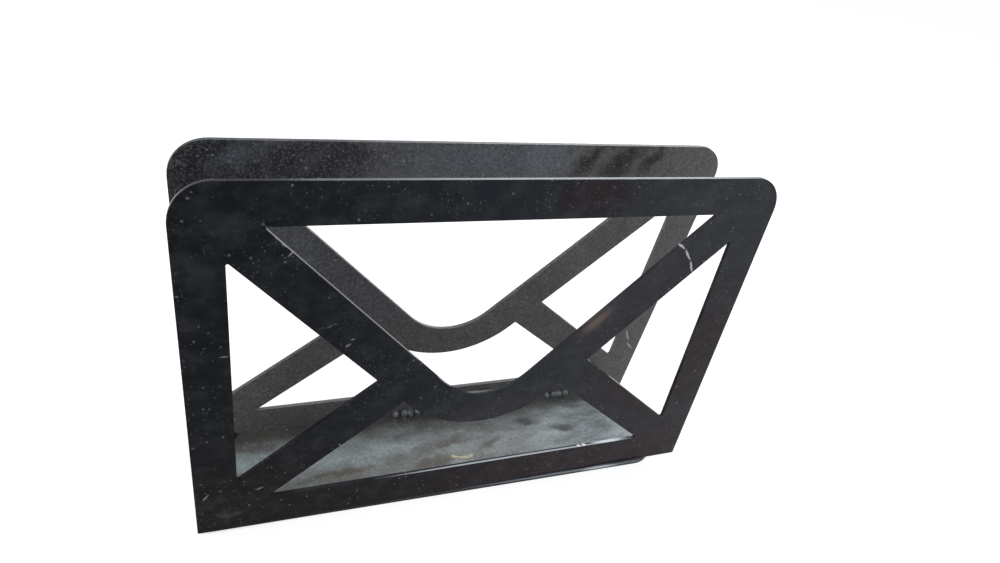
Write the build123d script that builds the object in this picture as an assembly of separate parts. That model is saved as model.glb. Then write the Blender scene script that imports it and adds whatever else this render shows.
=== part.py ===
from build123d import *
import os
from math import cos, radians, sin, tan

# Desk letter holder: two envelope-shaped sheet-steel panels welded to a narrow base plate.
# Frame: +X runs along the panels, +Y from the front panel to the rear one, +Z up.
# The origin is under the middle of the panels, on the surface that the base plate rests on.

# Driving dimensions, in millimetres and degrees.
sheet = 1.5              # steel sheet with its paint, the same for all three plates
panel_width = 196.0
panel_height = 128.5     # along the panel, from its foot on the base plate to its top edge
panel_corner = 12.0      # radius of the two top corners
side_rail = 13.6         # width of the two upright rails of a panel
level_rail = 13.0        # width of its top and bottom rails
flap_band = 14.1         # width of the V-shaped band that stands for the envelope's flap
flap_angle = 46.0        # slope of the flap band's two arms
flap_crossing = 28.3     # height above the foot where the arms' centre lines would cross
flap_tip = 22.0          # radius of the flap band's upper edge at its tip
flap_chin = 38.5         # and of its lower edge, a little flatter than the band is wide
fold_band = 13.4         # width of the two lower bands that stand for the envelope's folds
fold_angle = 38.1        # slope of the fold bands
fold_height = 3.5        # height above the foot of a fold band's centre line at the panel's side
cut_corner = 0.5         # radius of the cut-outs' sharp corners
foot_gap = 44.6          # clear space between the panels where they meet the base plate
rear_lean = 6.6          # how far the rear panel leans over the base plate
ledge = 0.3              # how far the base plate stands out past each panel's foot, in its middle
base_length = 186.0      # shorter than the panels
base_shift = -3.0        # the base plate sits off centre, towards the left end
base_turn = 0.8          # and a little askew, its right end towards the front
left_corner = 2.5        # radius of the base plate's two left corners
right_corner = 12.0
tack_radius = 1.4        # leg of each weld tack in the corner of panel and base plate
tack_length = 12.0
tack_places = (-89.0, -11.0, 62.0)  # middles of each panel's three tacks, laid by eye

# Places worked out from them.
base_depth = 2 * (ledge + sheet) + foot_gap
front_outer = ledge - base_depth / 2
front_inner = front_outer + sheet
rear_inner = front_inner + foot_gap
foot_trim = sheet * tan(radians(rear_lean))


def band_edges(height, width, angle):
    """Heights at which the lower and upper edges of a sloping band pass the place of its centre line."""
    half = width / 2 / cos(radians(angle))
    return height - half, height + half


def flap_edge(x, crossing):
    """Height of a flap band's edge at a distance x from the middle of the panel."""
    return crossing + abs(x) * tan(radians(flap_angle))


def meeting(flap_crossing_edge, fold_side_edge):
    """Point, right of the middle, where an edge of the flap band meets an edge of the fold band."""
    rise = fold_side_edge + panel_width / 2 * tan(radians(fold_angle)) - flap_crossing_edge
    x = rise / (tan(radians(flap_angle)) + tan(radians(fold_angle)))
    return x, flap_edge(x, flap_crossing_edge)


def rounded(points, radii):
    """Closed outline through the points, each corner rounded by its own radius."""
    face = make_face(Polyline(*points, close=True))
    for point, radius in zip(points, radii):
        corner = face.vertices().sort_by_distance(Vector(*point))[0]
        face = fillet(corner, radius)
    return face


def panel_outline():
    """Flat pattern of one panel in X and Y: X along the foot, Y up from it."""
    half = panel_width / 2
    sheet_outline = rounded(
        [(-half, 0), (half, 0), (half, panel_height), (-half, panel_height)],
        [cut_corner, cut_corner, panel_corner, panel_corner],
    )
    flap_low, flap_high = band_edges(flap_crossing, flap_band, flap_angle)
    fold_low, fold_high = band_edges(fold_height, fold_band, fold_angle)
    top = panel_height - level_rail
    side = half - side_rail

    # Opening above the flap, an upside-down triangle with a round tip.
    mouth = (top - flap_high) / tan(radians(flap_angle))
    above_flap = rounded(
        [(-mouth, top), (0, flap_high), (mouth, top)],
        [cut_corner, flap_tip, cut_corner],
    )

    # Triangular opening at each side, between the flap band and the fold band.
    inner = meeting(flap_low, fold_high)
    fold_at_side = fold_high + side_rail * tan(radians(fold_angle))
    beside = rounded(
        [(side, fold_at_side), (side, flap_edge(side, flap_low)), inner],
        [cut_corner, cut_corner, cut_corner],
    )

    # Opening below the flap, whose upper edge follows the round tip.
    shoulder = meeting(flap_low, fold_low)
    foot_x = half - (level_rail - fold_low) / tan(radians(fold_angle))
    below_flap = rounded(
        [
            (-foot_x, level_rail),
            (foot_x, level_rail),
            shoulder,
            (0, flap_low),
            (-shoulder[0], shoulder[1]),
        ],
        [cut_corner, cut_corner, cut_corner, flap_chin, cut_corner],
    )
    return sheet_outline - above_flap - beside - mirror(beside, Plane.YZ) - below_flap


def panel(lean):
    """One panel with its front face's foot on the X axis, leaning towards -Y, its foot cut level."""
    pattern = panel_outline()
    skirt = Pos(0, -foot_trim / 2) * Rectangle(panel_width - 2 * cut_corner, foot_trim)
    upright = Plane.XZ * (pattern + skirt)
    blank = extrude(upright, -sheet)
    leaning = Rot(X=lean) * blank
    return split(leaning, bisect_by=Plane.XY, keep=Keep.TOP)


def base_plate():
    end = base_length / 2
    side = base_depth / 2
    outline = rounded(
        [(-end, -side), (end, -side), (end, side), (-end, side)],
        [left_corner, right_corner, right_corner, left_corner],
    )
    return Pos(base_shift, 0) * Rot(Z=-base_turn) * extrude(outline, sheet)


def weld_tacks(corner_y, plates):
    """Three short weld beads along the inside corner between a panel and the base plate."""
    run = tack_length - 2 * tack_radius
    bead = Rot(Y=90) * Cylinder(tack_radius, run)
    for end in (-run / 2, run / 2):
        bead += Pos(end, 0) * Sphere(tack_radius)
    beads = []
    for place in tack_places:
        placed = Pos(place, corner_y, sheet) * bead
        for plate in plates:
            placed -= plate
        beads.append(placed.solids().sort_by(SortBy.VOLUME)[-1])
    return Compound(children=beads)


base = base_plate()
front = Pos(0, front_outer, sheet) * panel(0)
rear = Pos(0, rear_inner, sheet) * panel(rear_lean)
parts = {
    "front_panel": front,
    "rear_panel": rear,
    "base_plate": base,
    "front_weld_tacks": weld_tacks(front_inner, (front, base)),
    "rear_weld_tacks": weld_tacks(rear_inner, (rear, base)),
}

os.makedirs("parts", exist_ok=True)
for name, solid in parts.items():
    solid.label = name
    export_step(solid, f"parts/{name}.step")
    box = solid.bounding_box()
    print(name, len(solid.solids()), "solid(s)", round(solid.volume, 1), "mm3", box.min, box.max)

top_gap = foot_gap - panel_height * sin(radians(rear_lean))
print("clear space between the panels at the top:", round(top_gap, 1), "mm")
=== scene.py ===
# %% [markdown]
# # A welded letter holder in black enamel
# The real object is three plates of laser-cut steel: two panels in the shape of the back of an
# envelope and a narrow base strip. Short welds hold them together, and one coat of gloss black
# enamel covers everything. The CAD frame already has every plate in its place and at its size,
# so this script adds what a plate needs to look real: the round edge of the paint, the ripples
# of the welds, and the dust, stains and scratches of long use.

from math import radians

import bmesh
import bpy
from mathutils import Matrix, Vector


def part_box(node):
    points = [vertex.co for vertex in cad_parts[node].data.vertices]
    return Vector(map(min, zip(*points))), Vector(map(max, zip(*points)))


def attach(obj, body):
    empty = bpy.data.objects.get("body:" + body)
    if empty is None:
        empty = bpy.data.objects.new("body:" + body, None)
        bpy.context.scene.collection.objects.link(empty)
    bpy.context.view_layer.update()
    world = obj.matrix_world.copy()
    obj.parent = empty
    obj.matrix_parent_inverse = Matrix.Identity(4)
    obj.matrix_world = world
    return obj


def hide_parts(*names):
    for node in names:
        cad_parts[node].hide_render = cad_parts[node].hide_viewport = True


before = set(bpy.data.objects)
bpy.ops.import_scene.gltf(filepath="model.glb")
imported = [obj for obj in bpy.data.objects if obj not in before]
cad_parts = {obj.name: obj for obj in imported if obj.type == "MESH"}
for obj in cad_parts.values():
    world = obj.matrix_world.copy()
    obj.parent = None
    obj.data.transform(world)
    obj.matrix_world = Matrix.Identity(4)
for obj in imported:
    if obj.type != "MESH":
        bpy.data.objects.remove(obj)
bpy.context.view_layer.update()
mm = 0.001

# %% [markdown]
# ## The camera
# The picture that this scene follows was taken close up with a wide lens, from the left and from above,
# with the camera a little tilted. Three Euler angles could turn the camera, but a heading, a downward angle
# and a tilt are easier to read, so its matrix is built from those. The small shift puts the object where it
# sits in a frame of 1000 by 563.

# %% Camera
scene = bpy.context.scene
scene.view_settings.view_transform = "Standard"
camera_place = Vector((-90.4, -189.8, 200.8)) * mm
camera_heading = radians(24.15)
camera_down = radians(32.25)
camera_tilt = radians(9.15)
camera_data = bpy.data.cameras.new("camera")
camera_data.sensor_width = 36.0
camera_data.lens = 24.48
camera_data.shift_x = 0.0438
camera_data.shift_y = 0.0287
camera_data.clip_start = 0.01
camera = bpy.data.objects.new("camera", camera_data)
heading = Matrix.Rotation(-camera_heading, 4, "Z")
pitch = Matrix.Rotation(radians(90) - camera_down, 4, "X")
tilt = Matrix.Rotation(camera_tilt, 4, "Z")
camera.matrix_world = Matrix.Translation(camera_place) @ heading @ pitch @ tilt
scene.collection.objects.link(camera)
scene.camera = camera
print("camera at", [round(v / mm) for v in camera_place], "mm, lens", camera_data.lens, "mm")

# %% [markdown]
# ## Three small helpers
# Paint colours are written as the hex values that a colour picker shows, which are in sRGB.
# Shaders work in linear light, so one function turns the first into the second. Another one adds
# a node with its settings and its inputs, because every material needs dozens of them. An input
# is either a value or a link, and the function tells them apart. The third starts a material.


# %% Helpers for colours and nodes
def colour(code):
    """An sRGB hex value such as 1A1B1F as the linear RGBA that a shader expects."""
    parts = [int(code[i:i + 2], 16) / 255 for i in (0, 2, 4)]
    linear = [c / 12.92 if c <= 0.04045 else ((c + 0.055) / 1.055) ** 2.4 for c in parts]
    return (*linear, 1.0)


def add_node(tree, kind, inputs=None, **settings):
    """One node with its settings; an input that is given a socket is linked to it."""
    node = tree.nodes.new(kind)
    for name, value in settings.items():
        setattr(node, name, value)
    for key, given in (inputs or {}).items():
        if isinstance(given, bpy.types.NodeSocket):
            tree.links.new(given, node.inputs[key])
        else:
            node.inputs[key].default_value = given
    return node


def new_material(name):
    """An empty material with an output, and its tree."""
    material = bpy.data.materials.new(name)
    material.use_nodes = True
    material.node_tree.nodes.clear()
    output = add_node(material.node_tree, "ShaderNodeOutputMaterial")
    return material, material.node_tree, output


print("black enamel in linear light:", [round(c, 4) for c in colour("1A1B1F")])

# %% [markdown]
# ## The floor
# Black gloss shows what stands around it, so the stage matters as much as the lamps. A curved
# backdrop would show its bend in the gloss, so the floor is one wide flat sheet. To the camera,
# and to rays that a glossy surface sends out, it is lifted to white through Light Path. To every
# other ray it is plain pale grey, so it keeps the holder's shadow and doesn't light the holder
# more than a table would.


# %% Floor
def shown_white(tree):
    """1 for the rays that should meet a white surround: from the camera, from gloss, through glass."""
    path = add_node(tree, "ShaderNodeLightPath")
    mask = path.outputs["Is Camera Ray"]
    for label in ("Is Glossy Ray", "Is Transmission Ray"):
        either = add_node(tree, "ShaderNodeMath", {0: mask, 1: path.outputs[label]}, operation="MAXIMUM")
        mask = either.outputs[0]
    return mask


reach = 12.0            # metres from the middle of the floor to its sides
floor_lift = 0.62       # what the pale grey lacks to be shown as white
corners = [(-reach, -reach, 0), (reach, -reach, 0), (reach, reach, 0), (-reach, reach, 0)]
floor_mesh = bpy.data.meshes.new("floor")
floor_mesh.from_pydata(corners, [], [(0, 1, 2, 3)])
floor = bpy.data.objects.new("floor", floor_mesh)
scene.collection.objects.link(floor)

floor_paint, tree, output = new_material("pale_floor")
matt = add_node(tree, "ShaderNodeBsdfDiffuse", {"Color": colour("D4D5D6")})
lift = add_node(tree, "ShaderNodeEmission", {"Color": colour("FFFFFF"), "Strength": floor_lift})
both = add_node(tree, "ShaderNodeAddShader", {0: matt.outputs[0], 1: lift.outputs[0]})
seen = add_node(
    tree, "ShaderNodeMixShader", {0: shown_white(tree), 1: matt.outputs[0], 2: both.outputs[0]},
)
tree.links.new(seen.outputs[0], output.inputs["Surface"])
floor_mesh.materials.append(floor_paint)
print("floor", 2 * reach, "m wide")

# %% [markdown]
# ## The room and its lamps
# A photograph of a real room could light the scene, but this script reads no picture, so a plain
# white world stands for the walls. The camera and the gloss see it at full white, and it lights
# the holder at about half of that. Two soft lamps do the rest: one in front, high and to the left,
# and one behind the right end, at the height of a window. The second one draws the light lines
# along the plates' edges.

# %% World
world = bpy.data.worlds.new("white_room")
world.use_nodes = True
scene.world = world
tree = world.node_tree
tree.nodes.clear()
room_level = 0.55
shown_level = 1.0
# A Mix node keeps its numbers in inputs 2 and 3.
strength = add_node(
    tree, "ShaderNodeMix", {0: shown_white(tree), 2: room_level, 3: shown_level}, data_type="FLOAT",
)
room = add_node(
    tree, "ShaderNodeBackground", {"Color": colour("FFFFFF"), "Strength": strength.outputs[0]},
)
add_node(tree, "ShaderNodeOutputWorld", {"Surface": room.outputs[0]})
print("room level", room_level)


# %% Lamps
def soft_lamp(name, place, width, height, watts):
    """A rectangular soft lamp that looks at the middle of the holder and isn't itself in view."""
    data = bpy.data.lights.new(name, "AREA")
    data.shape = "RECTANGLE"
    data.size = width
    data.size_y = height
    data.energy = watts
    lamp = bpy.data.objects.new(name, data)
    aim = holder_middle - Vector(place)
    lamp.matrix_world = Matrix.Translation(place) @ aim.to_track_quat("-Z", "Y").to_matrix().to_4x4()
    lamp.visible_camera = False
    scene.collection.objects.link(lamp)
    print(name, "gives", watts, "W from", place)


holder_middle = Vector((0, 0, 0.06))
soft_lamp("front_lamp", (-0.9, -0.7, 1.2), width=0.8, height=0.8, watts=9.0)
soft_lamp("window_lamp", (0.78, 1.15, 0.60), width=0.75, height=0.95, watts=11.0)

# %% [markdown]
# ## The plates' round edges
# A cutter leaves a plate with knife-sharp edges, but enamel draws back from an edge and rounds
# it by a few tenths of a millimetre. That round edge is what catches the light, and without it
# a plate looks like paper. A Bevel node in the material could fake it, but an exported mesh would
# lose it, so a Bevel modifier makes it real. The CAD node's mesh is loose triangles. A copy of it
# is merged first and its flat faces are joined up. The copy then stands for the node.


# %% Helpers that finish a piece
def finished(piece):
    """The piece with its modifiers worked out and taken away, as a plain mesh."""
    bpy.context.view_layer.update()
    seen_by = bpy.context.evaluated_depsgraph_get()
    result = bpy.data.meshes.new_from_object(piece.evaluated_get(seen_by), depsgraph=seen_by)
    result.name = piece.name
    piece.modifiers.clear()
    piece.data = result
    print(piece.name, len(result.vertices), "points,", len(result.polygons), "faces")
    return piece


def shade_by_size(piece, largest):
    """Flat shading on the large flat faces and smooth shading on the small ones of the curves."""
    for polygon in piece.data.polygons:
        polygon.use_smooth = polygon.area < largest
    return piece


print("helpers for meshes ready")


# %% Round-edged skins for the three plates
paint_edge = 0.4 * mm
edge_steps = 3
same_point = 0.001 * mm          # points nearer to each other than this are one
flat_angle = radians(1)          # faces that turn by less than this are one flat face
sharp_angle = radians(40)        # corners sharper than this are edges; curves have smaller steps
small_face = 3 * mm * mm         # faces on curves and round edges are smaller than this


def painted_skin(node):
    """A copy of a CAD plate with the round edge that a coat of enamel gives it."""
    name = node + "_enamelled"
    form = bmesh.new()
    form.from_mesh(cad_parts[node].data)
    bmesh.ops.remove_doubles(form, verts=form.verts, dist=same_point)
    bmesh.ops.dissolve_limit(form, angle_limit=flat_angle, verts=form.verts, edges=form.edges)
    mesh = bpy.data.meshes.new(name)
    form.to_mesh(mesh)
    form.free()
    mesh.materials.clear()
    mesh.shade_smooth()
    skin = bpy.data.objects.new(name, mesh)
    scene.collection.objects.link(skin)
    edge = skin.modifiers.new("paint_edge", "BEVEL")
    edge.width = paint_edge
    edge.segments = edge_steps
    edge.limit_method = "ANGLE"
    edge.angle_limit = sharp_angle
    edge.use_clamp_overlap = True
    return shade_by_size(finished(skin), small_face)


front_panel = painted_skin("front_panel")
rear_panel = painted_skin("rear_panel")
base_plate = painted_skin("base_plate")

# %% [markdown]
# ## The welds
# Each panel is held to the base by three short runs of weld. A run is a row of molten pools that
# froze one over the other, so it shows as a row of overlapping lumps. It could be sculpted, or
# a noise could push a plain bead about, but then each run would be work of its own or would look
# like dough. Geometry Nodes make it the way a welder does: a line of points, each pushed a little
# out of line, a squashed ball on each, and then the whole run at each place where the panel was
# tacked. Sizes and pushes vary with a fixed seed, so the lumps are uneven and yet the script
# always gives the same weld. Part of every ball is inside the plates, as a weld's root is.


# %% One run of lumps
# A Random Value node keeps its limits for vectors in inputs 0 and 1, and for numbers in 2 and 3.
def weld_run(tree, given):
    """A row of squashed balls along X, one for each ripple, with its middle at the origin."""
    count = add_node(
        tree, "ShaderNodeMath", {0: given["Run length"], 1: given["Ripple pitch"]}, operation="DIVIDE",
    )
    span = add_node(
        tree, "ShaderNodeMath", {0: given["Run length"], 1: given["Ripple pitch"]}, operation="SUBTRACT",
    )
    half_back = add_node(tree, "ShaderNodeMath", {0: span.outputs[0], 1: -0.5}, operation="MULTIPLY")
    start = add_node(tree, "ShaderNodeCombineXYZ", {0: half_back.outputs[0]})
    step = add_node(tree, "ShaderNodeCombineXYZ", {0: given["Ripple pitch"]})
    row = add_node(tree, "GeometryNodeMeshLine", {
        "Count": count.outputs[0], "Start Location": start.outputs[0], "Offset": step.outputs[0],
    })
    varied = {}
    for what, (least, most) in {"push": lump_push, "size": lump_size}.items():
        share = add_node(
            tree, "FunctionNodeRandomValue", {0: least, 1: most, "Seed": given["Seed"]},
            data_type="FLOAT_VECTOR",
        )
        varied[what] = add_node(
            tree, "ShaderNodeVectorMath", {0: share.outputs[0], "Scale": given["Leg"]}, operation="SCALE",
        ).outputs[0]
    loose_row = add_node(
        tree, "GeometryNodeSetPosition", {"Geometry": row.outputs[0], "Offset": varied["push"]},
    )
    ball = add_node(tree, "GeometryNodeMeshUVSphere", {"Segments": 28, "Rings": 16, "Radius": 1.0})
    lumps = add_node(tree, "GeometryNodeInstanceOnPoints", {
        "Points": loose_row.outputs[0], "Instance": ball.outputs[0], "Scale": varied["size"],
    })
    return add_node(tree, "GeometryNodeRealizeInstances", {0: lumps.outputs[0]})


# Least and most, along the run, across it and up, as shares of the weld's leg.
lump_push = ((-0.3, -0.1, -0.1), (0.3, 0.1, 0.1))
lump_size = ((0.55, 0.60, 0.60), (0.85, 0.90, 0.90))
print("lumps are pushed along the run by up to", lump_push[1][0], "of the leg")


# %% Spatter beside the runs
def weld_spatter(tree, given):
    """A few drops thrown along the base plate to both sides of each place, inside the slot."""
    drops = add_node(
        tree, "GeometryNodeDuplicateElements", {"Amount": drops_per_run, "Geometry": given["Places"]},
        domain="POINT",
    )
    other_way = add_node(
        tree, "ShaderNodeVectorMath", {0: given["Spatter reach"], 1: other_end}, operation="MULTIPLY",
    )
    thrown = add_node(
        tree, "FunctionNodeRandomValue",
        {0: other_way.outputs[0], 1: given["Spatter reach"], "Seed": given["Seed"]},
        data_type="FLOAT_VECTOR",
    )
    scattered = add_node(
        tree, "GeometryNodeSetPosition", {"Geometry": drops.outputs[0], "Offset": thrown.outputs[0]},
    )
    drop = add_node(tree, "GeometryNodeMeshIcoSphere", {"Radius": 1.0, "Subdivisions": 3})
    share = add_node(
        tree, "FunctionNodeRandomValue", {2: smallest_drop, "Seed": given["Seed"]}, data_type="FLOAT",
    )
    drop_size = add_node(
        tree, "ShaderNodeMath", {0: share.outputs[1], 1: given["Spatter size"]}, operation="MULTIPLY",
    )
    return add_node(tree, "GeometryNodeInstanceOnPoints", {
        "Points": scattered.outputs[0], "Instance": drop.outputs[0], "Scale": drop_size.outputs[0],
    })


drops_per_run = 5
smallest_drop = 0.3               # as a share of the largest
# The drops' near limit, as shares of the reach: as far the other way along the panel, three tenths
# of the way into the slot, and just as low.
other_end = (-1.0, 0.3, 1.0)
print(drops_per_run, "drops beside each run")


# %% The whole weld tree
def weld_tree():
    """Geometry Nodes that lay a lumpy weld run along X at each point of the given geometry."""
    tree = bpy.data.node_groups.new("weld_runs", "GeometryNodeTree")
    tree.interface.new_socket("Geometry", in_out="OUTPUT", socket_type="NodeSocketGeometry")
    for label, kind in weld_inputs.items():
        tree.interface.new_socket(label, in_out="INPUT", socket_type=kind)
    given = add_node(tree, "NodeGroupInput").outputs
    run = weld_run(tree, given)
    runs = add_node(
        tree, "GeometryNodeInstanceOnPoints", {"Points": given["Places"], "Instance": run.outputs[0]},
    )
    together = add_node(tree, "GeometryNodeJoinGeometry")
    for part in (runs, weld_spatter(tree, given)):
        tree.links.new(part.outputs[0], together.inputs[0])
    plain = add_node(tree, "GeometryNodeRealizeInstances", {0: together.outputs[0]})
    smooth = add_node(tree, "GeometryNodeSetShadeSmooth", {"Geometry": plain.outputs[0]})
    painted = add_node(
        tree, "GeometryNodeSetMaterial", {"Geometry": smooth.outputs[0], "Material": given["Material"]},
    )
    add_node(tree, "NodeGroupOutput", {0: painted.outputs[0]})
    return tree


weld_inputs = {
    "Places": "NodeSocketGeometry",
    "Run length": "NodeSocketFloat",
    "Leg": "NodeSocketFloat",
    "Ripple pitch": "NodeSocketFloat",
    "Spatter reach": "NodeSocketVector",
    "Spatter size": "NodeSocketFloat",
    "Seed": "NodeSocketInt",
    "Material": "NodeSocketMaterial",
}
weld_runs = weld_tree()
print("weld tree with", len(weld_runs.nodes), "nodes")

# %% [markdown]
# ## The enamel and what time has put on it
# The finish is a stoved black enamel, sprayed on and baked: a hard, smooth, glass-like coat.
# Years on a desk have put four things on it that the eye reads at once: a thin film of dust that turns
# black to grey in soft patches, pale grit, scuffs and scratches, and paler lines on the edges, where dust
# settles. Some tints of the black and some pale edges are painted reflections of the room as well. All of
# them could be painted by hand on an image, but that would need an
# image file and a layout of the surface. Here each of them is a mask from 0 to 1, drawn in
# millimetres of the holder itself, and the masks then drive colour, roughness and bump together.
# Nothing depends on where the camera stands, so the finish is the same from every side.


# %% Where a point is
def millimetres(tree):
    """The place on the holder in millimetres, and the direction that its surface faces."""
    where = add_node(tree, "ShaderNodeTexCoord")
    scaled = add_node(
        tree, "ShaderNodeMapping", {"Vector": where.outputs["Object"], "Scale": (1 / mm, 1 / mm, 1 / mm)},
    )
    return scaled.outputs[0], where.outputs["Normal"]


def soft_step(tree, value, low, high):
    """0 below low, 1 above high, and a smooth step between them; low may be the larger."""
    return add_node(
        tree, "ShaderNodeMapRange", {"Value": value, "From Min": low, "From Max": high},
        interpolation_type="SMOOTHSTEP",
    ).outputs[0]


def along(tree, vector, axis, start, end):
    """A soft step along one axis of the holder."""
    apart = add_node(tree, "ShaderNodeSeparateXYZ", {0: vector})
    return soft_step(tree, apart.outputs[axis], start, end)


print("a millimetre is", mm, "of Blender's units")


# %% Masks and layers
# A Mix node keeps its colours in inputs 6 and 7 and in output 2.
def faded(tree, mask, share):
    """The mask at a share of its strength; the share is a number or another mask."""
    return add_node(tree, "ShaderNodeMath", {0: mask, 1: share}, operation="MULTIPLY").outputs[0]


def strongest(tree, masks):
    """The strongest of several masks at each point."""
    result = masks[0]
    for mask in masks[1:]:
        result = add_node(tree, "ShaderNodeMath", {0: result, 1: mask}, operation="MAXIMUM").outputs[0]
    return result


def layer(tree, below, above, mask, strength=1.0):
    """The colour below with the one above laid over it, where the mask is and as strong as strength.
    A colour is a hex value or comes from another layer."""
    cover = mask if strength == 1.0 else faded(tree, mask, strength)
    below, above = (colour(part) if isinstance(part, str) else part for part in (below, above))
    mix = add_node(tree, "ShaderNodeMix", {0: cover, 6: below, 7: above}, data_type="RGBA")
    return mix.outputs[2]


print("mask helpers ready")


# %% Cloudy and crooked patterns
def clouds(tree, place, size, low, high, detail=4.0, stretch=(1, 1, 1), shift=0.0):
    """Soft patches about size millimetres wide; stretch draws them out along an axis."""
    moved = add_node(tree, "ShaderNodeMapping", {
        "Vector": place, "Location": (shift, shift, shift), "Scale": tuple(1 / (size * a) for a in stretch),
    })
    noise = add_node(
        tree, "ShaderNodeTexNoise",
        {"Vector": moved.outputs[0], "Scale": 1.0, "Detail": detail, "Roughness": 0.6},
    )
    return soft_step(tree, noise.outputs["Fac"], low, high)


def uneven(tree, place, size, amount):
    """The place, pushed about by up to amount millimetres, so that drawn shapes aren't too neat."""
    noise = add_node(tree, "ShaderNodeTexNoise", {"Vector": place, "Scale": 1 / size, "Detail": 3.0})
    centred = add_node(
        tree, "ShaderNodeVectorMath", {0: noise.outputs["Color"], 1: (0.5, 0.5, 0.5)},
        operation="SUBTRACT",
    )
    pushed = add_node(
        tree, "ShaderNodeVectorMath", {0: centred.outputs[0], "Scale": 2 * amount}, operation="SCALE",
    )
    return add_node(
        tree, "ShaderNodeVectorMath", {0: place, 1: pushed.outputs[0]}, operation="ADD",
    ).outputs[0]


print("cloud helpers ready")


# %% Grit
# Real grit is a few tenths of a millimetre wide, about one pixel of the picture. It is drawn two
# to three times as coarse, because finer specks would vanish.
def grit(tree, place, spacing, largest, share):
    """Specks, at most one in each cell of the given spacing, of which a share is kept.
    Every speck has a size and a strength of its own, and a slightly ragged outline."""
    crooked = uneven(tree, place, size=0.5 * largest, amount=0.22 * largest)
    cells = add_node(tree, "ShaderNodeTexVoronoi", {"Vector": crooked, "Scale": 1 / spacing})
    chance = add_node(tree, "ShaderNodeSeparateColor", {0: cells.outputs["Color"]}).outputs
    small = add_node(tree, "ShaderNodeMath", {0: chance[1], 1: more_small_ones}, operation="POWER")
    radius = faded(tree, small.outputs[0], 0.5 * largest / spacing)
    inside = add_node(
        tree, "ShaderNodeMath", {0: radius, 1: cells.outputs["Distance"]}, operation="SUBTRACT",
    )
    disc = soft_step(tree, inside.outputs[0], 0.0, 0.2 * largest / spacing)
    kept = add_node(tree, "ShaderNodeMath", {0: chance[0], 1: share}, operation="LESS_THAN")
    return faded(tree, faded(tree, disc, kept.outputs[0]), chance[2])


more_small_ones = 1.5             # power on a speck's random size; 1 would make all sizes as common
print("grit helper ready")


# %% Marks in one place
def patch(tree, place, centre, reach, slope, core, flat=False):
    """1 in the core of an ellipse on the holder, falling to 0 at its reach.
    Its long axis rises by slope degrees on a panel, or turns by it on the base plate."""
    turn = (0, 0, radians(slope)) if flat else (0, -radians(slope), 0)
    local = add_node(
        tree, "ShaderNodeMapping",
        {"Vector": place, "Location": centre, "Rotation": turn, "Scale": reach}, vector_type="TEXTURE",
    )
    away = add_node(tree, "ShaderNodeVectorMath", {0: local.outputs[0]}, operation="LENGTH")
    return soft_step(tree, away.outputs["Value"], 1.0, core)


def marks(tree, place, ellipses, flat=False):
    """Several patches at once. Each is a centre and a reach in mm, a slope in degrees, and its core."""
    return strongest(tree, [patch(tree, place, *ellipse, flat) for ellipse in ellipses])


print("mark helpers ready")

# %% [markdown]
# ## The coat
# Enamel is clear binder over pigment, so it reflects like glass and isn't metallic: an IOR of
# 1.5, and a roughness near 0.1 where it is clean. Dust scatters light and makes it rough. The
# specular level is matched to the object. On the plates it is well below the usual 0.5, because
# this white room is brighter than the one where the holder stood, and would turn black to grey.
# One function builds this shader for every finish, so that they differ only where they should.


# %% The enamel shader
def enamel_coat(tree, output, paint, dull, roughness, relief, depth, shine):
    """The coat itself. Its roughness goes from its clean value to its dusty one as dull goes from
    0 to 1, and the relief raises its surface."""
    rough = add_node(
        tree, "ShaderNodeMapRange", {"Value": dull, "To Min": roughness[0], "To Max": roughness[1]},
    )
    bump = add_node(
        tree, "ShaderNodeBump", {"Height": relief, "Strength": depth, "Distance": coat_thickness},
    )
    coat = add_node(tree, "ShaderNodeBsdfPrincipled", {
        "Base Color": paint, "Roughness": rough.outputs[0], "Normal": bump.outputs[0],
        "IOR": enamel_ior, "Specular IOR Level": shine,
    })
    tree.links.new(coat.outputs[0], output.inputs["Surface"])


def relief_of(tree, waves, raised, height):
    """Gentle waves, with raised marks that stand height times as high as the waves."""
    lifted = faded(tree, raised, height)
    return add_node(tree, "ShaderNodeMath", {0: waves, 1: lifted}, operation="ADD").outputs[0]


enamel_ior = 1.5
coat_thickness = 0.15 * mm
print("coat", coat_thickness / mm, "mm thick")

# %% [markdown]
# ## The front panel's enamel
# This side is handled and wiped most, so it is the blackest and the glossiest. Its black leans to blue on
# the left and to brown along the foot, and gets greyer to the right: these tints are painted reflections of
# the room. The grit is sparse. A raised, pale scuff crosses the right arm of the flap, and a paler chipped
# lip runs down the first centimetre of the left arm's upper edge. One function could hold all of it, but
# the tones, the dust, the edges and the scuffs are easier to read and to adjust apart.


# %% Tones of the front panel
def front_painted_reflections(tree, place, hazy):
    """The black with its painted reflections: bluish on the left, grey on the right, brown along the foot.
    """
    paint = layer(tree, bluish_reflected_black, middle_reflected_black, along(tree, place, "X", -95.0, -5.0))
    paint = layer(tree, paint, grey_reflected_black, along(tree, place, "X", -20.0, 62.0))
    paint = layer(tree, paint, reflected_band_grey, marks(tree, hazy, reflected_grey_bands), 0.85)
    brown = layer(tree, left_reflected_brown, right_reflected_brown, along(tree, place, "X", -60.0, 60.0))
    foot = strongest(tree, [along(tree, place, "Z", 50.0, 6.0), marks(tree, hazy, reflected_brown_patches)])
    return layer(tree, paint, brown, foot, 0.8)


# Painted reflections of the room in the black: bluish on the left, grey to the right, brown along the foot.
bluish_reflected_black = "02050C"
middle_reflected_black = "171B23"
grey_reflected_black = "2D3035"
reflected_band_grey = "34343A"
left_reflected_brown = "0C0304"
right_reflected_brown = "291D22"
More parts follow.
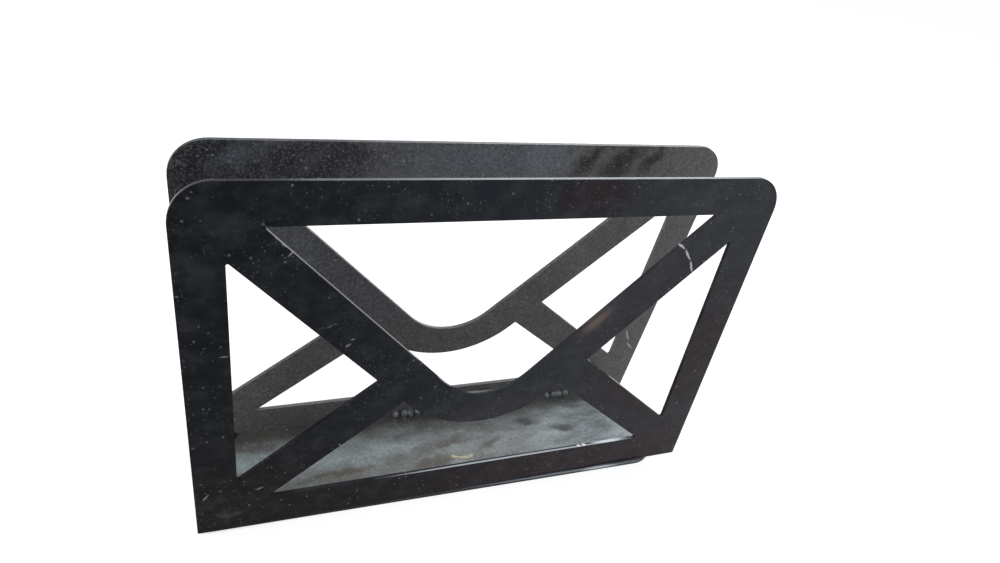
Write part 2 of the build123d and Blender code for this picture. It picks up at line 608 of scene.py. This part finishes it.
# The marks lie on the outer face, at about y -24. Their middle reach is how deep they go.
reflected_grey_bands = [
    ((10, -24, 34), (44, 20, 24), 0.0, 0.2),
    ((50, -24, 86), (46, 20, 14), 46.0, 0.3),
]
reflected_brown_patches = [
    ((75, -24, 55), (45, 20, 50), 0.0, 0.3),
    ((24, -24, 124), (17, 20, 8), 0.0, 0.4),
]
print("front tones:", len(reflected_grey_bands), "grey and", len(reflected_brown_patches), "brown patches")


# %% Dust on the front panel
def front_dust(tree, place, hazy):
    """A thin film, smears that a cloth left, and grit that is sparse or gathered in places."""
    veil = clouds(tree, place, size=6.0, low=0.38, high=0.80, detail=6.0, stretch=(1.3, 1, 1))
    specks = grit(tree, place, spacing=1.5, largest=1.2, share=0.45)
    gathered = clouds(tree, place, size=24.0, low=0.35, high=0.65, detail=3.0)
    fine = faded(tree, grit(tree, place, spacing=0.7, largest=0.75, share=0.70), gathered)
    return strongest(tree, [
        faded(tree, veil, 0.05), faded(tree, marks(tree, hazy, cloth_smears), 0.05),
        faded(tree, marks(tree, hazy, foot_smudge), 0.12), faded(tree, specks, 0.32),
        faded(tree, fine, 0.24),
    ])


cloth_smears = [
    ((-92, -24, 104), (6, 9, 11), 20.0, 0.0),
    ((-84, -24, 118), (10, 9, 5), 0.0, 0.0),
    ((66, -24, 122), (16, 9, 5), 25.0, 0.0),
]
foot_smudge = [((-87, -24, 9), (4, 9, 4.5), 60.0, 0.0)]
print("front dust:", len(cloth_smears) + len(foot_smudge), "smears")

# %% [markdown]
# ## Light on the front panel's edges
# Dust settles on the cut edges that face up, and these edges also mirror the pale sky, so they are painted
# paler: partly dust and partly a painted reflection, most of all along the top edge. Some edges also carry
# short bright glints, where the real enamel mirrors a window. A lamp could make them, but only for one
# place of the camera and with lines along every other edge too. They are drawn as pale strips instead, and
# so they stay where they are from every side.


# %% Front edges
def cut_edges(tree, facing):
    """1 on the cut edges of a panel and on their rounding, 0 on its two faces."""
    apart = add_node(tree, "ShaderNodeSeparateXYZ", {0: facing})
    sideways = add_node(tree, "ShaderNodeMath", {0: apart.outputs["Y"]}, operation="ABSOLUTE")
    return soft_step(tree, sideways.outputs[0], 0.93, 0.55)


def front_edges(tree, place, ragged, facing, paint):
    """The paint with dust and a painted sky reflection on its up-facing cut edges and painted glints on
    some of them, and the mask of the pale edges.
    """
    edge = cut_edges(tree, facing)
    upward = along(tree, facing, "Z", *facing_up)
    # The pale edges start right of the top-left corner and are strongest along the top edge, where they are
    # mostly a painted reflection of the sky.
    right_of_corner = along(tree, place, "X", -72.0, -58.0)
    more_at_top = add_node(tree, "ShaderNodeMapRange", {
        "Value": along(tree, place, "Z", 119.0, 128.0), "To Min": 0.05, "To Max": 0.36,
    })
    dust_and_sheen_on_edges = faded(tree, faded(tree, upward, right_of_corner), more_at_top.outputs[0])
    paint = layer(tree, paint, edge_dust_and_sheen, faded(tree, edge, dust_and_sheen_on_edges))
    # Painted highlights: glints of a window on the flap's top edge, along the sill and in two dots on it.
    strips = strongest(tree, [
        marks(tree, place, flap_glint), faded(tree, marks(tree, place, sill_glint_line), 0.6),
        marks(tree, ragged, sill_glint), marks(tree, place, sill_glint_dots),
    ])
    return layer(tree, paint, glint_white, faded(tree, strips, edge)), dust_and_sheen_on_edges


facing_up = (0.72, 0.98)          # where the pale edge of dust and painted sky reflection begins, and where it is full
edge_dust_and_sheen = "9AA6B4"
glint_white = "EAF3FC"
flap_glint = [((50, -23.8, 117.0), (30, 1.0, 0.6), 0.0, 0.6)]
sill_glint_line = [((20, -23.8, 14.5), (60, 1.0, 0.55), 0.0, 0.6)]
sill_glint = [((61, -23.2, 14.5), (11, 2.2, 1.2), 0.0, 0.2)]
sill_glint_dots = [
    ((50.0, -23.4, 14.5), (1.4, 1.6, 1.0), 0.0, 0.4),
    ((47.6, -23.4, 14.5), (1.2, 1.4, 1.0), 0.0, 0.4),
]
print("front glints:", len(flap_glint + sill_glint_line + sill_glint + sill_glint_dots))

# %% [markdown]
# ## Scuffs and chips on the front panel
# Knocks have left pale dashes, a scuff across one arm of the flap and a chipped lip on the other.
# Cracks could be cut into the mesh, but they are far thinner than the paint's own round edge. Each
# is an ellipse where the real mark is, drawn through a ragged noise so that its outline breaks up,
# and it is in the bump as well as in the colour, so that it catches the light.


# %% Front scuffs
def not_behind(tree, facing):
    """1 on a panel's front face and its edges, 0 on the face that looks back."""
    return along(tree, facing, "Y", 0.4, 0.1)


def front_scuffs(tree, place, ragged, facing, paint):
    """The paint with a warm brown streak and its chips, and the mask of the chips."""
    outside = not_behind(tree, facing)
    paint = layer(tree, paint, warm_streak_brown, faded(tree, marks(tree, ragged, warm_streak), outside), 0.32)
    broken = clouds(tree, place, size=1.4, low=0.45, high=0.70, detail=2.0)
    hairline = faded(tree, marks(tree, ragged, hairline_scratch), broken)
    chips = strongest(tree, [
        faded(tree, marks(tree, ragged, arm_scuff), 0.75), faded(tree, marks(tree, ragged, dashes), 0.24),
        faded(tree, marks(tree, ragged, chipped_lip), 0.6), faded(tree, hairline, 0.16),
    ])
    chips = faded(tree, chips, outside)
    return layer(tree, paint, chip_colour, chips), chips


chip_colour = "D9DBDE"
# A warm brown streak with a paler strip in it, along the right arm of the flap.
warm_streak_brown = "A88B78"
warm_streak = [
    ((38.5, -24, 77.0), (10.0, 9, 3.2), 46.0, 0.0),
    ((36.0, -24, 75.6), (6.0, 9, 1.3), 44.0, 0.0),
]
arm_scuff = [
    ((63.4, -24, 105.6), (2.9, 4, 0.55), -32.0, 0.5),
    ((67.6, -24, 101.8), (3.4, 4, 0.55), -51.0, 0.5),
    ((70.8, -24, 97.0), (3.0, 4, 0.55), -62.0, 0.5),
]
dashes = [
    ((-94.4, -24, 18.5), (2.0, 4, 0.5), 52.0, 0.4),
    ((-77.2, -24, 19.2), (1.8, 4, 0.45), 25.0, 0.4),
    ((-86.1, -24, 75.7), (1.6, 4, 0.35), 0.0, 0.4),
    ((-67.2, -24, 108.8), (1.5, 4, 0.55), 40.0, 0.4),
    ((-50.0, -24, 76.0), (1.2, 4, 0.6), 30.0, 0.4),
    ((-48.6, -24, 78.0), (0.9, 4, 0.5), 0.0, 0.4),
]
chipped_lip = [((-70.0, -24, 113.3), (6.5, 4, 0.9), -46.0, 0.3)]
hairline_scratch = [((-55.0, -24, 83.8), (6.5, 4, 0.6), 14.0, 0.2)]
print("front scuffs:", len(arm_scuff + dashes + chipped_lip + hairline_scratch))


# %% Front panel enamel
def front_finish():
    """Gloss black enamel, wiped often: deep, clear reflections with a little dust in them."""
    material, tree, output = new_material("gloss_black_enamel")
    place, facing = millimetres(tree)
    ragged = uneven(tree, place, size=2.0, amount=0.6)
    hazy = uneven(tree, place, size=6.0, amount=7.0)
    dust = front_dust(tree, place, hazy)
    paint = layer(tree, front_painted_reflections(tree, place, hazy), front_dust_colour, dust)
    paint, dust_and_sheen_on_edges = front_edges(tree, place, ragged, facing, paint)
    paint, chips = front_scuffs(tree, place, ragged, facing, paint)
    waves = add_node(tree, "ShaderNodeTexNoise", {"Vector": place, "Scale": 1 / spray_wave, "Detail": 3.0})
    relief = relief_of(tree, waves.outputs["Fac"], chips, 2.0)
    dull = strongest(tree, [dust, chips, dust_and_sheen_on_edges])
    enamel_coat(tree, output, paint, dull, roughness=(0.13, 0.80), relief=relief, depth=0.10, shine=0.09)
    return material


front_dust_colour = "A9ABB2"
spray_wave = 3.0                  # mm: sprayed enamel is faintly wavy, a little finer than this
front_enamel = front_finish()
print(front_enamel.name, "with", len(front_enamel.node_tree.nodes), "nodes")

# %% [markdown]
# ## The rear panel's enamel
# Nobody wipes the inside of a letter slot. A grey film lies all over this panel, dense with fine
# grit, bluish grey in the middle of its top rail and a warm grey at the right. The left end of
# the top rail and a few slanting streaks near its right end are darker, where the film is rubbed
# away. The film could be a second shader mixed over the black, but dust this thin only changes
# the enamel's colour and dulls its gloss, so it stays a layer of colour with a higher roughness.


# %% Tones of the rear panel
def rear_tones(tree, place, hazy):
    """The film: darker on the left, warmer on the right and further down."""
    paint = layer(tree, left_film, right_film, along(tree, place, "X", -30.0, 70.0))
    paint = layer(tree, paint, low_film, along(tree, place, "Z", 80.0, 20.0), 0.75)
    paint = layer(tree, paint, bare_black, marks(tree, hazy, rubbed_clean), 0.82)
    paint = layer(tree, paint, blue_film, marks(tree, hazy, bluish_places), 0.6)
    return layer(tree, paint, pale_film, marks(tree, hazy, thickest_place), 0.6)


left_film = "515256"
right_film = "6C6A6A"
low_film = "706E6D"
bare_black = "0E1014"
blue_film = "575D67"
pale_film = "6B727C"
# The marks go right through the leaning panel, so their middle reach is wide.
rubbed_clean = [
    ((-86, 9, 116), (24, 60, 22), 0.0, 0.5),
    ((-55, 9, 122), (24, 60, 12), 0.0, 0.5),
    ((40, 9, 123), (14, 60, 5.5), 50.0, 0.1),
    ((54, 9, 123), (16, 60, 7.5), 45.0, 0.2),
    ((66, 9, 124), (10, 60, 4.0), 52.0, 0.1),
]
bluish_places = [
    ((-79, 9, 123), (7, 60, 7), 0.0, 0.1),
    ((2, 9, 123), (38, 60, 10), 0.0, 0.3),
]
thickest_place = [((24, 9, 124), (14, 60, 9), 0.0, 0.3)]
print("rear tones:", len(rubbed_clean), "rubbed patches")


# %% Dust on the rear panel
def rear_dust(tree, place, ragged):
    """A film in soft patches, and grit of two sizes over a bed of finer specks."""
    film = clouds(tree, place, size=8.0, low=0.40, high=0.80, detail=6.0)
    coarse = grit(tree, place, spacing=1.4, largest=1.3, share=0.50)
    medium = grit(tree, ragged, spacing=1.0, largest=0.9, share=0.50)
    fine = grit(tree, place, spacing=0.6, largest=0.65, share=0.80)
    specks = strongest(tree, [coarse, medium])
    return strongest(tree, [faded(tree, film, 0.09), faded(tree, specks, 0.30), faded(tree, fine, 0.26)])


print("rear dust helper ready")


# %% Rear panel enamel
def rear_finish():
    """Black enamel under a grainy film: half matt, with only a broad, weak sheen."""
    material, tree, output = new_material("dusty_black_enamel")
    place, facing = millimetres(tree)
    hazy = uneven(tree, place, size=7.0, amount=5.0)
    ragged = uneven(tree, place, size=2.0, amount=0.6)
    mottle = clouds(tree, place, size=1.2, low=0.38, high=0.66)
    grain = clouds(tree, place, size=0.8, low=0.45, high=0.70, detail=3.0, shift=11.0)
    dust = rear_dust(tree, place, ragged)
    upward = faded(tree, along(tree, facing, "Z", *facing_up), 0.14)
    fibre = faded(tree, marks(tree, ragged, pale_fibre), not_behind(tree, facing))
    paint = layer(tree, rear_tones(tree, place, hazy), thin_film, mottle, 0.40)
    paint = layer(tree, paint, clotted_film, grain, 0.17)
    paint = layer(tree, paint, rear_dust_colour, dust)
    # Up-facing cut edges are paler: settled dust and a painted reflection of the sky.
    paint = layer(tree, paint, edge_dust_and_sheen, faded(tree, cut_edges(tree, facing), upward))
    paint = layer(tree, paint, chip_colour, fibre, 0.8)
    dull = strongest(tree, [dust, fibre, upward])
    relief = relief_of(tree, mottle, dust, 1.5)
    enamel_coat(tree, output, paint, dull, roughness=(0.34, 0.85), relief=relief, depth=0.15, shine=0.12)
    return material


thin_film = "1A1B1D"
clotted_film = "A6A8AB"
rear_dust_colour = "B9BBBF"
pale_fibre = [
    ((89.5, 18, 36.0), (5.0, 60, 0.45), -60.0, 0.5),
    ((93.5, 19, 29.0), (4.0, 60, 0.4), -48.0, 0.5),
]
rear_enamel = rear_finish()
print(rear_enamel.name, "with", len(rear_enamel.node_tree.nodes), "nodes")

# %% [markdown]
# ## The base plate's enamel
# Everything that falls into the slot ends here. The dust is thick enough to hide the black, and letters
# pushed along the slot have drawn it out in streaks. Along the foot of the rear panel it is painted brown
# and dark, as that panel's shadow and reflection. There are soft dark spots, a brown stain in the middle,
# and a pale crumb near the front. Fluff could be modelled as fibres, but at this size the eye only reads
# its tone. The sides of the plate are still black.


# %% Dust film on the base plate
def base_film(tree, place, hazy, streaks):
    """The dust film, streaky, brighter at the right and where letters sweep it together."""
    pale = layer(tree, left_streak, right_streak, along(tree, place, "X", 25.0, 75.0))
    dull = layer(tree, left_between, right_between, along(tree, place, "X", 10.0, 70.0))
    film = layer(tree, dull, pale, streaks)
    return layer(tree, film, swept_dust, marks(tree, hazy, swept_together, flat=True), 0.45)


left_streak = "9DA5A8"
right_streak = "E4F3FB"
left_between = "717573"
right_between = "9CA4A7"
swept_dust = "B9CBD2"
swept_together = [
    ((-40, 3, 1.5), (42, 7, 9), 3.0, 0.3),
    ((-76, 5, 1.5), (20, 8, 9), 0.0, 0.3),
    ((78, -3, 1.5), (16, 9, 9), 0.0, 0.2),
]
print("base film:", len(swept_together), "swept patches")


# %% Stains and spots on the base plate
def base_stains(tree, place, hazy, film):
    """The film with the places where it is thin or stained, its soft dark spots, and a painted shade along
    the rear panel's foot.
    """
    thin = clouds(
        tree, place, size=15.0, low=0.44, high=0.72, detail=5.0, stretch=(1.5, 0.8, 1.0), shift=31.0,
    )
    film = layer(tree, film, thin_dust, thin, 0.3)
    # Painted shade and reflection: darker and browner along the rear panel's foot.
    film = layer(tree, film, rear_foot_painted_shade, along(tree, hazy, "Y", 10.0, 19.0), 0.85)
    film = layer(tree, film, dark_spot_grey, marks(tree, hazy, dark_spots, flat=True), 0.78)
    return layer(tree, film, stain_brown, marks(tree, hazy, brown_stain, flat=True), 0.7)


thin_dust = "625C52"
rear_foot_painted_shade = "47433E"
dark_spot_grey = "343634"
stain_brown = "54493D"
dark_spots = [
    ((39.5, 6.9, 1.5), (9.0, 3.0, 9), -14.0, 0.1),
    ((55.2, 0.6, 1.5), (8.0, 3.4, 9), -14.0, 0.1),
    ((20.0, -2.0, 1.5), (9.0, 3.0, 9), 20.0, 0.0),
]
brown_stain = [
    ((-9.0, -8.5, 1.5), (17, 4.5, 9), 8.0, 0.2),
    ((-49.0, -6.5, 1.5), (26, 2.6, 9), 4.0, 0.2),
    ((2.0, 2.0, 1.5), (12, 2.6, 9), 22.0, 0.2),
]
print("base stains:", len(dark_spots), "spots and", len(brown_stain), "stains")


# %% Base plate edges
def base_rim(tree, place, top, film):
    """The black sides, the narrow rim in front of the front panel, painted darker than the film, and the
    glint of a window on it, drawn as on the front panel."""
    film = layer(tree, film, rim_black, along(tree, place, "Y", -23.5, -23.9), 0.85)
    paint = layer(tree, side_black, film, top)
    glint = strongest(tree, [
        marks(tree, place, rim_glint, flat=True), faded(tree, marks(tree, place, rim_line, flat=True), 0.3),
    ])
    return layer(tree, paint, rim_white, glint, 0.85)


rim_black = "1B212B"
side_black = "101114"
rim_white = "DCE9F6"
# The plate is a little askew, and so are the glints along its edge.
rim_glint = [((60, -25.0, 1.4), (14, 1.2, 0.9), -0.8, 0.1)]
rim_line = [((45, -24.9, 1.5), (60, 1.2, 0.5), -0.8, 0.4)]
print("base glints:", len(rim_glint + rim_line))


# %% Base plate enamel
def base_finish():
    """Enamel under settled dust: pale, soft and nearly matt on top, black gloss at its sides."""
    material, tree, output = new_material("enamel_under_dust")
    place, facing = millimetres(tree)
    hazy = uneven(tree, place, size=6.0, amount=3.0)
    crumbly = uneven(tree, place, size=1.5, amount=0.9)
    streaks = clouds(tree, hazy, size=7.0, low=0.32, high=0.72, detail=6.0, stretch=(2.2, 0.8, 1.0))
    grain = clouds(tree, place, size=1.3, low=0.40, high=0.62)
    specks = faded(tree, grit(tree, place, spacing=1.2, largest=1.2, share=0.60), 0.60)
    crumb = marks(tree, crumbly, pale_crumb, flat=True)
    top = along(tree, facing, "Z", 0.25, 0.85)
    film = base_stains(tree, place, hazy, base_film(tree, place, hazy, streaks))
    film = layer(tree, film, grain_dark, grain, 0.26)
    film = layer(tree, film, speck_white, specks)
    film = layer(tree, film, crumb_cream, crumb, 0.85)
    paint = base_rim(tree, place, top, film)
    relief = relief_of(tree, streaks, strongest(tree, [specks, crumb]), 2.0)
    enamel_coat(tree, output, paint, top, roughness=(0.16, 0.42), relief=relief, depth=0.25, shine=0.25)
    return material


grain_dark = "3A3B3A"
speck_white = "D6DADB"
crumb_cream = "D6CBA8"
pale_crumb = [
    ((1.6, -6.9, 1.5), (2.2, 0.9, 9), -20.0, 0.4),
    ((5.2, -8.0, 1.5), (3.2, 0.9, 9), -12.0, 0.4),
    ((8.4, -7.8, 1.5), (1.6, 1.1, 9), 30.0, 0.4),
]
base_enamel = base_finish()
print(base_enamel.name, "with", len(base_enamel.node_tree.nodes), "nodes")

# %% [markdown]
# ## Enamel over the welds
# Paint flows off the crests of a weld and gathers in its valleys. The lumps themselves already give the
# light its crests and valleys, so the material only adds what the mesh can't: a thick, wet-looking gloss
# with dust in small clouds. It is a mid grey and not black: partly because dust clings to the rough lumps,
# and partly as a painted sheen for the bright reflections that the lumps catch.


# %% Weld enamel
def weld_finish():
    """Enamel pooled over a rough weld: small bright reflections on a grey that is partly dust and partly
    painted sheen.
    """
    material, tree, output = new_material("enamel_over_weld")
    place = millimetres(tree)[0]
    dust = faded(tree, clouds(tree, place, size=1.2, low=0.40, high=0.70), 0.35)
    paint = layer(tree, weld_dust_and_sheen_grey, valley_dust, dust)
    enamel_coat(tree, output, paint, dust, roughness=(0.12, 0.6), relief=dust, depth=0.2, shine=0.5)
    return material


# Dust and painted sheen: the grey stands for dust on the lumps and for their bright reflections.
weld_dust_and_sheen_grey = "565C60"
valley_dust = "C8CED2"
weld_enamel = weld_finish()
for skin, finish in ((front_panel, front_enamel), (rear_panel, rear_enamel), (base_plate, base_enamel)):
    skin.data.materials.append(finish)
print("finishes:", [m.name for m in bpy.data.materials])

# %% [markdown]
# ## Weld runs at both panels
# The runs are laid by hand, so they are about 12 mm long but not evenly spaced: one near the
# left end, one left of the middle and one two thirds of the way to the right end. Their centre
# line stands a little out of the corner, so that the lumps never come through the 1.5 mm sheet.
# The node tree is used twice, with a seed of its own for each panel, so that their welds differ.
# The spatter lies on the base plate, up to 9 mm along it and 4.5 mm into the slot.


# %% Laying the runs
def weld_piece(name, corner_y, inward, seed):
    """The weld runs of one panel: corner_y is its inner face, inward points to the other panel."""
    points = [(x, corner_y + inward * weld_root, base_top + weld_root) for x in weld_places]
    mesh = bpy.data.meshes.new(name)
    mesh.from_pydata(points, [], [])
    piece = bpy.data.objects.new(name, mesh)
    scene.collection.objects.link(piece)
    modifier = piece.modifiers.new("weld_runs", "NODES")
    modifier.node_group = weld_runs
    sizes = {
        "Run length": 12.0 * mm, "Leg": 2.6 * mm, "Ripple pitch": 3.0 * mm,
        "Spatter reach": (9 * mm, inward * 4.5 * mm, -weld_root), "Spatter size": 0.5 * mm,
        "Seed": seed, "Material": weld_enamel,
    }
    for socket in weld_runs.interface.items_tree:
        if socket.in_out == "INPUT" and socket.name in sizes:
            modifier[socket.identifier] = sizes[socket.name]
    return finished(piece)


weld_places = [x * mm for x in (-89.0, -11.0, 62.0)]
weld_root = 1.2 * mm              # from the corner to the centre line of the lumps
panel_inside = 22.3 * mm          # from the middle of the holder to a panel's inner face at its foot
base_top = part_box("base_plate")[1][2]
front_welds = weld_piece("front_weld_runs", -panel_inside, inward=1, seed=3)
rear_welds = weld_piece("rear_weld_runs", panel_inside, inward=-1, seed=8)

# %% [markdown]
# ## Handing the pieces to the frame
# Each new piece hides the CAD node that it stands for and rides on the only body there is. The table also
# names which of the record's finishes each piece wears, but the loop doesn't use that column.

# %% Frame links
for piece, node, finish in (
    (front_panel, "front_panel", "panel_enamel"),
    (rear_panel, "rear_panel", "panel_enamel"),
    (base_plate, "base_plate", "base_enamel"),
    (front_welds, "front_weld_tacks", "weld_enamel"),
    (rear_welds, "rear_weld_tacks", "weld_enamel"),
):
    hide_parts(node)
    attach(piece, "root")
    print(piece.name, "stands for", node)
